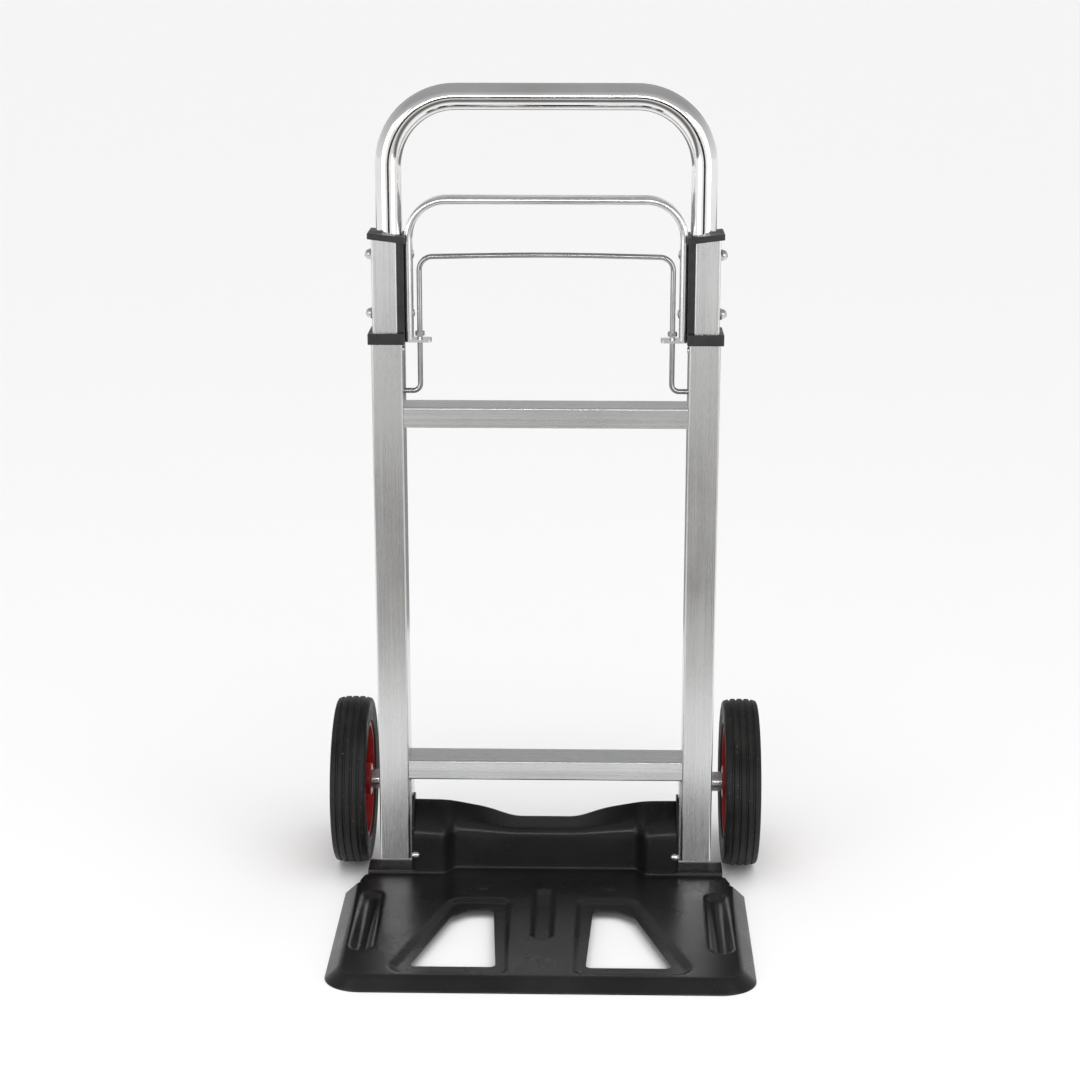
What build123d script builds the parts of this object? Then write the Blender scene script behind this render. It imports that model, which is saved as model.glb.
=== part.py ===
from build123d import *
from math import asin, copysign, cos, sin
import os

# Folding two-wheel hand truck in millimetres, +Z up, origin on the floor at the middle
# of the truck's box. The toe plate points to -Y and the wheels trail at +Y.
os.makedirs("parts", exist_ok=True)

SIDES = (("left", -1), ("right", 1))

# ---------------------------------------------------------------- driving dimensions
running_gap = 0.3

rail_width = 30.0
rail_depth = 40.0
rail_wall = 1.2
rail_corner = 2.0
rail_inner_x = 136.5
rail_front_y = 52.0
rail_bottom = 24.0
rail_top = 558.0

crossbar_height = 20.0
crossbar_depth = 38.0
crossbar_wall = 1.4
crossbar_bottoms = {"lower": 109.0, "upper": 469.0}

collar_bottom = 550.5
collar_top = 561.0
collar_skirt = 3.0
collar_inner_x = 134.6
hook_slot_width = 6.6
hook_slot_bottom = 496.0

channel_open_x = 141.0
channel_wall = 1.2
channel_bottom = 190.0
lock_z = 225.0
handle_travel = 290.0
lock_hole_radius = 4.4

grip_radius = 12.5
grip_wall = 1.5
grip_x = 149.0
grip_bend = 64.0
grip_axis_top = 782.0
grip_end = 566.0
bolt_heights = (577.5, 634.0)
bolt_radius = 3.0

hoop_thickness = 7.2
hoop_depth = 22.0
hoop_outer_x = 134.5
hoop_top = 689.5
hoop_bend = 36.4
foot_tab_thickness = 2.5
foot_tab_length = 24.4
foot_tab_depth = 18.0

bail_radius = 2.5
bail_x = 121.0
bail_top = 634.0
bail_droop = 2.5
bail_hook_z = 502.0
bail_hook_end = 148.0
bail_top_bend = 13.0
bail_hook_bend = 7.0

toe_half_width = 199.0
toe_front_y = -202.0
toe_height = 13.0
toe_sheet = 2.2
toe_corner = 35.0
flange_side_inset = 13.5
flange_front_inset = 9.0
flange_rear_y = 19.0
toe_crease_y = 40.0
toe_rear_half_width = 178.0
shelf_height = 17.3
shelf_rear_y = 66.0
window_recess = 3.0

toe_pivot_y = 62.0
toe_pivot_z = 29.0
toe_pin_radius = 2.5
pin_head_x = (130.2, 131.0)
pin_head_radius = 4.8
pin_head_rise = 2.6
pin_clinch_x = (137.7, 139.2)
pin_clinch_radius = 4.0
ear_inner_x = 131.3
ear_thickness = 2.6

bracket_strip_x = 134.4
bracket_sheet = 2.0
bracket_front_y = 57.0
bracket_top = 107.0
bracket_outer_x = 165.0
bracket_floor_sheet = 1.6

swivel_x = 143.0
swivel_y = 101.0
swivel_radius = 3.0
rod_bottom = 38.5
rod_length = 65.5
rod_foot = (rod_bottom, 4.4, 3.3)
rod_head = (103.7, 5.0, 2.6)
lug_thickness = 3.0
lug_bottoms = (42.0, 100.5)
barrel_radius = 6.0
barrel_bottom = 64.0
barrel_top = 98.0
spring_pitch = 2.6
fold_spring_bottom = 46.2
fold_spring_height = 15.6
fold_spring_radius = 4.6
fold_spring_wire = 0.9

wheel_radius = 85.0
wheel_y = 117.0
tyre_inner_x = 180.0
tyre_width = 35.0
rim_radius = 60.0
axle_radius = 6.0
axle_boss_radius = 10.0
axle_boss_end = tyre_inner_x - 2
bush_clearance = 0.05

# ---------------------------------------------------------------- derived places
rail_x = rail_inner_x + rail_width / 2
rail_y = rail_front_y + rail_depth / 2
rail_rear_y = rail_front_y + rail_depth
rail_outer_x = rail_inner_x + rail_width
cavity_inner_x = rail_inner_x + rail_wall
cavity_outer_x = rail_outer_x - rail_wall
channel_outer_x = cavity_outer_x - running_gap
channel_depth = rail_depth - 2 * rail_wall - 2 * running_gap
channel_x = (channel_open_x + channel_outer_x) / 2
channel_inside_depth = channel_depth - 2 * channel_wall
channel_inside_x = channel_outer_x - channel_wall
wheel_z = wheel_radius
wheel_axis = Axis((0, wheel_y, wheel_z), (1, 0, 0))


def wheel_plane(sign):
    """Section plane through a wheel axle: local x runs outward along the axle."""
    return Plane(origin=(0, wheel_y, wheel_z), x_dir=(sign, 0, 0), z_dir=(0, 0, 1))


def cap_plane(sign, outer_z, inner_z):
    """Plane across a channel's top that falls from its outer side to its inner side."""
    outer_x = cap_outer_x
    run = cap_outer_x - cap_inner_x
    fall = outer_z - inner_z
    return Plane(origin=(sign * outer_x, 0, outer_z), x_dir=(-sign * run, 0, -fall),
                 z_dir=(-sign * fall, 0, run))


def dome_arc(base_x, radius, rise):
    """Half section of a shallow dome centred on the axis; a negative rise domes towards -x."""
    ball = (radius ** 2 + rise ** 2) / (2 * abs(rise))
    half_angle = asin(radius / ball) / 2
    middle_x = base_x + copysign(abs(rise) - ball + ball * cos(half_angle), rise)
    ThreePointArc((base_x, radius), (middle_x, ball * sin(half_angle)), (base_x + rise, 0))


def cut_across(x, y, z, radius, length):
    """Round hole along X, taken out of the part under construction."""
    with Locations((x, y, z)):
        Cylinder(radius, length, rotation=(0, 90, 0), mode=Mode.SUBTRACT)


def cut_lengthwise(x, y, z, radius, length):
    """Round hole along Y, taken out of the part under construction."""
    with Locations((x, y, z)):
        Cylinder(radius, length, rotation=(90, 0, 0), mode=Mode.SUBTRACT)


# ================================================================ fixed frame
screw_y = 61.0
screw_z = 544.5
screw_radius = 1.5
rivet_x = 158.0
rivet_heights = (52.0, 99.0)
rivet_radius = 2.0
rivet_length = 3.4
rivet_head_y = 94.2
rivet_head_radius = 4.0
rivet_head_height = 1.4

for side, sign in SIDES:
    with BuildPart() as rail:
        with BuildSketch(Plane.XY.offset(rail_bottom)):
            with Locations((sign * rail_x, rail_y)):
                RectangleRounded(rail_width, rail_depth, rail_corner)
                RectangleRounded(rail_width - 2 * rail_wall, rail_depth - 2 * rail_wall,
                                 rail_corner - rail_wall, mode=Mode.SUBTRACT)
        extrude(amount=rail_top - rail_bottom)
        # open-topped slot in the inner wall, which the bail's hook rides out of
        slot_height = rail_top - hook_slot_bottom
        with Locations((sign * rail_inner_x, rail_y, hook_slot_bottom + slot_height / 2)):
            Box(2 * rail_wall + 1, hook_slot_width, slot_height, mode=Mode.SUBTRACT)
        # lock holes in the rear wall for the folded and the raised handle
        for height in (lock_z, lock_z + handle_travel):
            cut_lengthwise(sign * channel_x, rail_rear_y, height, lock_hole_radius, 4)
        cut_across(sign * rail_inner_x, toe_pivot_y, toe_pivot_z, toe_pin_radius, 4)
        cut_across(sign * rail_inner_x, screw_y, screw_z, screw_radius, 4)
        for height in rivet_heights:
            cut_lengthwise(sign * rivet_x, rail_rear_y, height, rivet_radius, 4)
    rail.part.label = f"rail_{side}"
    export_step(rail.part, f"parts/rail_{side}.step")

    # black end plug pressed into the rail's foot
    with BuildPart() as plug:
        plug_inner_x = 139.8
        plug_outer_x = cavity_outer_x - 0.1
        with Locations((sign * (plug_inner_x + plug_outer_x) / 2, rail_y, rail_bottom + 10.5)):
            Box(plug_outer_x - plug_inner_x, rail_depth - 2 * rail_wall - 0.2, 20)
        chamfer(plug.edges().filter_by(Axis.Z), 1.0)
    plug.part.label = f"rail_foot_plug_{side}"
    export_step(plug.part, f"parts/rail_foot_plug_{side}.step")

for level, bottom in crossbar_bottoms.items():
    with BuildPart() as crossbar:
        with BuildSketch(Plane.YZ.offset(-rail_inner_x)):
            with Locations((rail_y, bottom + crossbar_height / 2)):
                RectangleRounded(crossbar_depth, crossbar_height, 1.6)
                RectangleRounded(crossbar_depth - 2 * crossbar_wall,
                                 crossbar_height - 2 * crossbar_wall, 0.6, mode=Mode.SUBTRACT)
        extrude(amount=2 * rail_inner_x)
    crossbar.part.label = f"{level}_crossbar"
    export_step(crossbar.part, f"parts/{level}_crossbar.step")

collar_outer_x = rail_outer_x + collar_skirt
collar_x = (collar_inner_x + collar_outer_x) / 2
collar_depth = rail_depth + 2 * collar_skirt
throat_inner_x = cavity_inner_x + running_gap
throat_x = (throat_inner_x + cavity_outer_x) / 2
for side, sign in SIDES:
    with BuildPart() as collar:
        with BuildSketch(Plane.XY.offset(collar_bottom)):
            with Locations((sign * collar_x, rail_y)):
                RectangleRounded(collar_outer_x - collar_inner_x, collar_depth, 1.8)
        extrude(amount=collar_top - collar_bottom)
        fillet(collar.faces().sort_by(Axis.Z)[-1].edges(), 0.8)
        with BuildSketch(Plane.XY.offset(collar_bottom)):
            with Locations((sign * rail_x, rail_y)):
                RectangleRounded(rail_width, rail_depth, rail_corner)
        extrude(amount=rail_top - collar_bottom, mode=Mode.SUBTRACT)
        with BuildSketch(Plane.XY.offset(rail_top)):
            with Locations((sign * throat_x, rail_y)):
                RectangleRounded(cavity_outer_x - throat_inner_x, rail_depth - 2 * rail_wall, 0.8)
        extrude(amount=collar_top - rail_top, mode=Mode.SUBTRACT)
        with Locations((sign * collar_inner_x, rail_y, (collar_bottom + collar_top) / 2)):
            Box(10, hook_slot_width, 20, mode=Mode.SUBTRACT)
    collar.part.label = f"rail_collar_{side}"
    export_step(collar.part, f"parts/rail_collar_{side}.step")

with BuildPart() as collar_screws:
    for side, sign in SIDES:
        head_height = 1.5
        with Locations((sign * (rail_inner_x - head_height / 2), screw_y, screw_z)):
            Cylinder(2.8, head_height, rotation=(0, 90, 0))
        with Locations((sign * (rail_inner_x + 0.6), screw_y, screw_z)):
            Cylinder(screw_radius, 1.4, rotation=(0, 90, 0))
collar_screws.part.label = "collar_screws"
export_step(collar_screws.part, "parts/collar_screws.step")

# zinc-plated foot bracket: floor under the rail, strip up its inner side, plate behind it
# and two lugs that hold the wheel swivel rod
bracket_floor = rail_bottom - bracket_floor_sheet
for side, sign in SIDES:
    with BuildPart() as bracket:
        with BuildSketch(Plane.XY.offset(bracket_floor)):
            with BuildLine():
                strip_inner = sign * bracket_strip_x
                strip_outer = sign * (bracket_strip_x + bracket_sheet)
                plate_rear = rail_rear_y + 0.1 + bracket_sheet
                Polyline((strip_inner, bracket_front_y), (strip_outer, bracket_front_y),
                         (strip_outer, rail_rear_y + 0.1), (sign * bracket_outer_x, rail_rear_y + 0.1),
                         (sign * bracket_outer_x, plate_rear), (strip_inner, plate_rear), close=True)
            make_face()
        extrude(amount=bracket_top - bracket_floor)
        floor_mid = (bracket_strip_x + bracket_outer_x) / 2
        floor_depth = rail_rear_y + 0.1 - bracket_front_y
        with Locations((sign * floor_mid, bracket_front_y + floor_depth / 2,
                        bracket_floor + bracket_floor_sheet / 2)):
            Box(bracket_outer_x - bracket_strip_x, floor_depth, bracket_floor_sheet)
        for bottom in lug_bottoms:
            with BuildSketch(Plane.XY.offset(bottom)):
                with Locations((sign * swivel_x, swivel_y)):
                    Circle(8)
                with Locations((sign * swivel_x, (plate_rear + swivel_y) / 2)):
                    Rectangle(16, swivel_y - plate_rear)
                with Locations((sign * swivel_x, swivel_y)):
                    Circle(swivel_radius, mode=Mode.SUBTRACT)
            extrude(amount=lug_thickness)
        strip_mid = bracket_strip_x + bracket_sheet / 2
        cut_across(sign * strip_mid, toe_pivot_y, toe_pivot_z, toe_pin_radius, 4)
        for height in rivet_heights:
            cut_lengthwise(sign * rivet_x, plate_rear, height, rivet_radius, 6)
    bracket.part.label = f"foot_bracket_{side}"
    export_step(bracket.part, f"parts/foot_bracket_{side}.step")

    # headed swivel rod that the folding wheel arm turns on
    with BuildPart() as rod:
        with BuildSketch(Plane.XY.offset(rod_bottom)):
            with Locations((sign * swivel_x, swivel_y)):
                Circle(swivel_radius)
        extrude(amount=rod_length)
        for bottom, radius, height in (rod_foot, rod_head):
            with BuildSketch(Plane.XY.offset(bottom)):
                with Locations((sign * swivel_x, swivel_y)):
                    Circle(radius)
            extrude(amount=height)
    rod.part.label = f"wheel_swivel_rod_{side}"
    export_step(rod.part, f"parts/wheel_swivel_rod_{side}.step")

    # coil spring round the rod that swings the wheel out
    with BuildPart() as swivel_spring:
        spring_foot = (sign * swivel_x, swivel_y, fold_spring_bottom)
        with BuildLine() as coil:
            Helix(pitch=spring_pitch, height=fold_spring_height, radius=fold_spring_radius,
                  center=spring_foot)
        with BuildSketch(Plane(origin=coil.line @ 0, z_dir=coil.line % 0)):
            Circle(fold_spring_wire)
        sweep(is_frenet=True)
    swivel_spring.part.label = f"wheel_fold_spring_{side}"
    export_step(swivel_spring.part, f"parts/wheel_fold_spring_{side}.step")

with BuildPart() as bracket_rivets:
    for side, sign in SIDES:
        for height in rivet_heights:
            with Locations((sign * rivet_x, rivet_head_y - rivet_length / 2, height)):
                Cylinder(rivet_radius, rivet_length, rotation=(90, 0, 0))
            with Locations((sign * rivet_x, rivet_head_y + rivet_head_height / 2, height)):
                Cylinder(rivet_head_radius, rivet_head_height, rotation=(90, 0, 0))
bracket_rivets.part.label = "bracket_rivets"
export_step(bracket_rivets.part, "parts/bracket_rivets.step")

with BuildPart() as toe_pivot_pins:
    for side, sign in SIDES:
        pin_section = Plane(origin=(0, toe_pivot_y, toe_pivot_z), x_dir=(sign, 0, 0), z_dir=(0, 0, 1))
        with BuildSketch(pin_section):
            with BuildLine():
                Line((pin_head_x[0] - pin_head_rise, 0), (pin_clinch_x[1], 0))
                Line((pin_clinch_x[1], 0), (pin_clinch_x[1], pin_clinch_radius))
                Line((pin_clinch_x[1], pin_clinch_radius), (pin_clinch_x[0], pin_clinch_radius))
                Line((pin_clinch_x[0], pin_clinch_radius), (pin_clinch_x[0], toe_pin_radius))
                Line((pin_clinch_x[0], toe_pin_radius), (pin_head_x[1], toe_pin_radius))
                Line((pin_head_x[1], toe_pin_radius), (pin_head_x[1], pin_head_radius))
                Line((pin_head_x[1], pin_head_radius), (pin_head_x[0], pin_head_radius))
                dome_arc(pin_head_x[0], pin_head_radius, -pin_head_rise)
            make_face()
        revolve(axis=Axis((0, toe_pivot_y, toe_pivot_z), (1, 0, 0)))
toe_pivot_pins.part.label = "toe_pivot_pins"
export_step(toe_pivot_pins.part, "parts/toe_pivot_pins.step")

# ================================================================ folding toe plate
flange_wall = 3.0
pan_floor = toe_height - toe_sheet
pan_floor_share = pan_floor / toe_height
pan_floor_half_width = toe_half_width - flange_side_inset * pan_floor_share - flange_wall
pan_floor_front_y = toe_front_y + flange_front_inset * pan_floor_share + flange_wall
top_half_width = toe_half_width - flange_side_inset
top_front_y = toe_front_y + flange_front_inset
# one window on the right-hand side: the hole and the pressed border round it
window_points = ((41.5, -167), (122, -167), (88, -54), (73, -39), (48.5, -37))
border_points = ((27.5, -187), (146, -187), (91, -17), (31, -17))
# stations across the rear wall: x, front y, bend z, top y, top z
wall_stations = ((0, 55, 55, 82, 59.5), (32, 55, 55, 82, 59.5), (60, 55, 56, 80, 70),
                 (92, 55, 57, 78, 77), (101, 40, 58, 76, 79), (132, 40, 60, 72, 81))
shelf_inner_x = 99.0
shelf_riser = 3.0
trough_depth = 5.0
strap_trough_x = 169.0
strap_trough_width = 25.0
strap_trough_y = (-140.0, -2.0)
middle_trough_y = (-112.0, 30.0)
middle_trough_width = 27.0


def pan_outline(half_width, front_y, corner):
    """Outline of the pressed pan: square at the rear, rounded at its two front corners."""
    with Locations((0, (front_y + flange_rear_y) / 2)):
        Rectangle(2 * half_width, flange_rear_y - front_y)
    fillet(vertices().sort_by(Axis.Y)[:2], corner)


def mirrored_outline(points, sign, corner):
    """Rounded outline on one side of the truck from points given for the right-hand side."""
    with BuildLine() as outline:
        Polyline(*[(sign * x, y) for x, y in points], close=True)
    make_face(outline.edges())
    fillet(vertices(), corner)


def trough_slot(x, y_ends, width, slot_width):
    """Round-ended slot along Y for one level of a lofted trough."""
    with Locations((x, (y_ends[0] + y_ends[1]) / 2)):
        SlotOverall(y_ends[1] - y_ends[0] - width + slot_width, slot_width, rotation=90)


with BuildPart() as toe_plate:
    with BuildSketch(Plane.XY):
        pan_outline(toe_half_width, toe_front_y, toe_corner)
    with BuildSketch(Plane.XY.offset(toe_height)):
        pan_outline(top_half_width, top_front_y, toe_corner - flange_side_inset)
    loft()
    # the pan is open underneath and at its rear
    with BuildSketch(Plane.XY):
        pan_outline(toe_half_width - flange_wall, toe_front_y + flange_wall, toe_corner - flange_wall)
    with BuildSketch(Plane.XY.offset(pan_floor)):
        pan_outline(pan_floor_half_width, pan_floor_front_y, 20)
    loft(mode=Mode.SUBTRACT)
    # flat rear margin with cut corners, back to the crease
    with BuildSketch(Plane.XY.offset(pan_floor)):
        with BuildLine():
            Polyline((-top_half_width, flange_rear_y), (-toe_rear_half_width, toe_crease_y + shelf_riser),
                     (toe_rear_half_width, toe_crease_y + shelf_riser),
                     (top_half_width, flange_rear_y), close=True)
        make_face()
        with Locations((0, 48)):
            Rectangle(2 * shelf_inner_x, 18)
    extrude(amount=toe_sheet)
    # raised shelf under each rail
    shelf_length = toe_rear_half_width - shelf_inner_x
    for side, sign in SIDES:
        shelf_mid = sign * (shelf_inner_x + toe_rear_half_width) / 2
        with Locations((shelf_mid, toe_crease_y + shelf_riser / 2, (pan_floor + shelf_height) / 2)):
            Box(shelf_length, shelf_riser, shelf_height - pan_floor)
        with Locations((shelf_mid, (toe_crease_y + shelf_rear_y) / 2, shelf_height - toe_sheet / 2)):
            Box(shelf_length, shelf_rear_y - toe_crease_y, toe_sheet)
    # rear wall between the rails, which leans back and dips in the middle
    for side, sign in SIDES:
        for station in range(len(wall_stations) - 1):
            for x, front, bend_z, top_y, top_z in wall_stations[station:station + 2]:
                with BuildSketch(Plane.YZ.offset(sign * x)):
                    with BuildLine():
                        Polyline((front, pan_floor), (front, bend_z), (top_y, top_z),
                                 (top_y + 1, top_z - toe_sheet), (front + toe_sheet, bend_z - 1.5),
                                 (front + toe_sheet, pan_floor), close=True)
                    make_face()
            loft(ruled=True)
    # side ears that hang on the two pivot pins
    for side, sign in SIDES:
        with BuildSketch(Plane.YZ.offset(sign * ear_inner_x)):
            with BuildLine():
                Polyline((toe_crease_y, shelf_height - toe_sheet), (toe_crease_y, 62), (60, 88), (75, 88),
                         (78, 70), (71, 24), (67, 18), (62, shelf_height - toe_sheet), close=True)
            make_face()
            with Locations((toe_pivot_y, toe_pivot_z)):
                Circle(toe_pin_radius + bush_clearance, mode=Mode.SUBTRACT)
        extrude(amount=sign * ear_thickness)
    # two windows, each inside a pressed border
    for side, sign in SIDES:
        with BuildSketch(Plane.XY.offset(toe_height - window_recess - toe_sheet)):
            mirrored_outline(border_points, sign, 9)
            offset(amount=1.6)
        extrude(amount=toe_sheet + window_recess)
        with BuildSketch(Plane.XY.offset(toe_height - window_recess)):
            mirrored_outline(border_points, sign, 9)
        extrude(amount=window_recess, mode=Mode.SUBTRACT)
        with BuildSketch(Plane.XY.offset(1)):
            mirrored_outline(window_points, sign, 5)
        extrude(amount=toe_height, mode=Mode.SUBTRACT)
    # strap trough beside each window, and one trough in the middle
    troughs = [(sign * strap_trough_x, strap_trough_y, strap_trough_width) for side, sign in SIDES]
    troughs.append((0, middle_trough_y, middle_trough_width))
    trough_floor = toe_height - trough_depth
    for x, y_ends, width in troughs:
        with BuildSketch(Plane.XY.offset(pan_floor)):
            trough_slot(x, y_ends, width, width)
        with BuildSketch(Plane.XY.offset(trough_floor - toe_sheet)):
            trough_slot(x, y_ends, width, width - 15)
        loft()
        with BuildSketch(Plane.XY.offset(toe_height)):
            trough_slot(x, y_ends, width, width)
        with BuildSketch(Plane.XY.offset(trough_floor)):
            trough_slot(x, y_ends, width, width - 17)
        loft(mode=Mode.SUBTRACT)
toe_plate.part.label = "toe_plate"
export_step(toe_plate.part, "parts/toe_plate.step")

# ================================================================ folding wheel arms and wheels
arm_size = (14.0, 20.0, 16.0)
arm_x = 153.0
arm_y = 107.0
axle_inner_x = 152.0
hub_inner_x = tyre_inner_x
hub_outer_x = hub_inner_x + 29.0
hub_boss_radius = 16.0
web_x = (hub_inner_x + 13.0, hub_inner_x + 18.0)
rim_x = (hub_inner_x + 3.0, hub_inner_x + 32.0)
inner_washer_x = (axle_boss_end, hub_inner_x - 0.4)
outer_washer_x = (hub_outer_x + 0.4, hub_outer_x + 1.8)
push_nut_rim_x = outer_washer_x[1] + 1.2
push_nut_rise = 2.7
axle_end_x = outer_washer_x[1] + 2.2
hub_window_count = 5
hub_window_radius = 35.5
rim_wall = 5.0
groove_width = 2.4
groove_depth = 2.5
tyre_grooves = 4
bush_length = 10.0
bush_radius = 10.0
washer_radius = 9.0

for side, sign in SIDES:
    section = wheel_plane(sign)

    with BuildPart() as wheel_arm:
        with BuildSketch(Plane.XY.offset(barrel_bottom)):
            with Locations((sign * swivel_x, swivel_y)):
                Circle(barrel_radius)
        extrude(amount=barrel_top - barrel_bottom)
        with Locations((sign * arm_x, arm_y, wheel_z)):
            Box(*arm_size)
        boss_length = axle_boss_end - 148
        with Locations((sign * (axle_boss_end - boss_length / 2), wheel_y, wheel_z)):
            Cylinder(axle_boss_radius, boss_length, rotation=(0, 90, 0))
        with BuildSketch(Plane.XY.offset(barrel_bottom)):
            with Locations((sign * swivel_x, swivel_y)):
                Circle(swivel_radius + bush_clearance)
        extrude(amount=barrel_top - barrel_bottom, mode=Mode.SUBTRACT)
        bore_length = axle_boss_end - axle_inner_x
        cut_across(sign * (axle_boss_end - bore_length / 2), wheel_y, wheel_z, axle_radius, bore_length)
    wheel_arm.part.label = f"wheel_arm_{side}"
    export_step(wheel_arm.part, f"parts/wheel_arm_{side}.step")

    with BuildPart() as axle:
        axle_length = axle_end_x - axle_inner_x
        with Locations((sign * (axle_inner_x + axle_length / 2), wheel_y, wheel_z)):
            Cylinder(axle_radius, axle_length, rotation=(0, 90, 0))
        chamfer(axle.edges().filter_by(GeomType.CIRCLE), 0.6)
    axle.part.label = f"axle_{side}"
    export_step(axle.part, f"parts/axle_{side}.step")

    with BuildPart() as axle_washers:
        for start, end in (inner_washer_x, outer_washer_x):
            with Locations((sign * (start + end) / 2, wheel_y, wheel_z)):
                Cylinder(washer_radius, end - start, rotation=(0, 90, 0))
                Cylinder(axle_radius, end - start, rotation=(0, 90, 0), mode=Mode.SUBTRACT)
    axle_washers.part.label = f"axle_washers_{side}"
    export_step(axle_washers.part, f"parts/axle_washers_{side}.step")

    # domed push-on nut that keeps the wheel on its axle
    with BuildPart() as push_nut:
        with BuildSketch(section):
            with BuildLine():
                Line((outer_washer_x[1], axle_radius), (outer_washer_x[1], washer_radius))
                Line((outer_washer_x[1], washer_radius), (push_nut_rim_x, washer_radius))
                dome_arc(push_nut_rim_x, washer_radius, push_nut_rise)
                Line((push_nut_rim_x + push_nut_rise, 0), (axle_end_x, 0))
                Line((axle_end_x, 0), (axle_end_x, axle_radius))
                Line((axle_end_x, axle_radius), (outer_washer_x[1], axle_radius))
            make_face()
        revolve(axis=wheel_axis)
    push_nut.part.label = f"axle_push_nut_{side}"
    export_step(push_nut.part, f"parts/axle_push_nut_{side}.step")

    with BuildPart() as hub:
        with BuildSketch(section):
            with BuildLine():
                Polyline((hub_inner_x, axle_radius + 2), (hub_inner_x, hub_boss_radius),
                         (web_x[0], hub_boss_radius), (web_x[0], rim_radius - rim_wall),
                         (rim_x[0], rim_radius - rim_wall), (rim_x[0], rim_radius),
                         (rim_x[1], rim_radius), (rim_x[1], rim_radius - rim_wall),
                         (web_x[1], rim_radius - rim_wall), (web_x[1], hub_boss_radius),
                         (hub_outer_x, hub_boss_radius), (hub_outer_x, axle_radius + 2), close=True)
            make_face()
        revolve(axis=wheel_axis)
        for end in (hub_inner_x + bush_length / 2, hub_outer_x - bush_length / 2):
            cut_across(sign * end, wheel_y, wheel_z, bush_radius, bush_length)
        # five round-cornered windows in the web
        with BuildSketch(Plane(origin=(sign * web_x[0], wheel_y, wheel_z), x_dir=(0, 0, 1),
                               z_dir=(sign, 0, 0))):
            with PolarLocations(hub_window_radius, hub_window_count):
                Trapezoid(29, 19, 76, rotation=90)
            fillet(vertices(), 5)
        extrude(amount=web_x[1] - web_x[0], mode=Mode.SUBTRACT)
        fillet(hub.edges().filter_by(GeomType.CIRCLE).filter_by(
            lambda edge: abs(edge.radius - hub_boss_radius) < 0.01), 1.0)
    hub.part.label = f"wheel_hub_{side}"
    export_step(hub.part, f"parts/wheel_hub_{side}.step")

    with BuildPart() as bushes:
        for end in (hub_inner_x + bush_length / 2, hub_outer_x - bush_length / 2):
            with Locations((sign * end, wheel_y, wheel_z)):
                Cylinder(bush_radius, bush_length, rotation=(0, 90, 0))
                Cylinder(axle_radius + bush_clearance, bush_length, rotation=(0, 90, 0),
                         mode=Mode.SUBTRACT)
    bushes.part.label = f"wheel_bushes_{side}"
    export_step(bushes.part, f"parts/wheel_bushes_{side}.step")

    with BuildPart() as tyre:
        with BuildSketch(section):
            with Locations((tyre_inner_x + tyre_width / 2, (rim_radius + wheel_radius) / 2)):
                Rectangle(tyre_width, wheel_radius - rim_radius)
            fillet(vertices().sort_by(Axis.Y)[-2:], 5)
            with Locations((tyre_inner_x + tyre_width / 2, wheel_radius - groove_depth / 2)):
                with GridLocations(tyre_width / (tyre_grooves + 1), 1, tyre_grooves, 1):
                    Rectangle(groove_width, groove_depth, mode=Mode.SUBTRACT)
        revolve(axis=wheel_axis)
    tyre.part.label = f"tyre_{side}"
    export_step(tyre.part, f"parts/tyre_{side}.step")

# ================================================================ telescoping handle
cap_inner_x = 133.0
cap_outer_x = 168.5
cap_under = (651.0, 646.5)
cap_over = (656.5, 652.8)
cap_front_y = 50.5
cap_rear_y = 93.5
block_bottom = collar_top + 0.5
block_inner_x = hoop_outer_x
block_depth = channel_inside_depth - 0.2
guide_bottom = 192.0
guide_top = 262.0
guide_inner_x = cavity_inner_x + 0.6
plunger_length = 15.0
plunger_radius = 4.0
plunger_rear_y = 88.9
pull_rod_x = 145.0
pull_rod_radius = 2.0
pull_rod_bottom = 240.0
spring_radius = 3.0
spring_wire = 0.6

with BuildPart() as handle_tube:
    with BuildLine(Plane.XZ.offset(-rail_y)) as grip_path:
        FilletPolyline((-grip_x, grip_end), (-grip_x, grip_axis_top), (grip_x, grip_axis_top),
                       (grip_x, grip_end), radius=grip_bend)
    with BuildSketch(Plane(origin=grip_path.line @ 0, z_dir=grip_path.line % 0)):
        Circle(grip_radius)
        Circle(grip_radius - grip_wall, mode=Mode.SUBTRACT)
    sweep()
    for side, sign in SIDES:
        for height in bolt_heights:
            cut_across(sign * grip_x, rail_y, height, bolt_radius, 2 * grip_radius + 2)
handle_tube.part.label = "handle_tube"
export_step(handle_tube.part, "parts/handle_tube.step")

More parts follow.
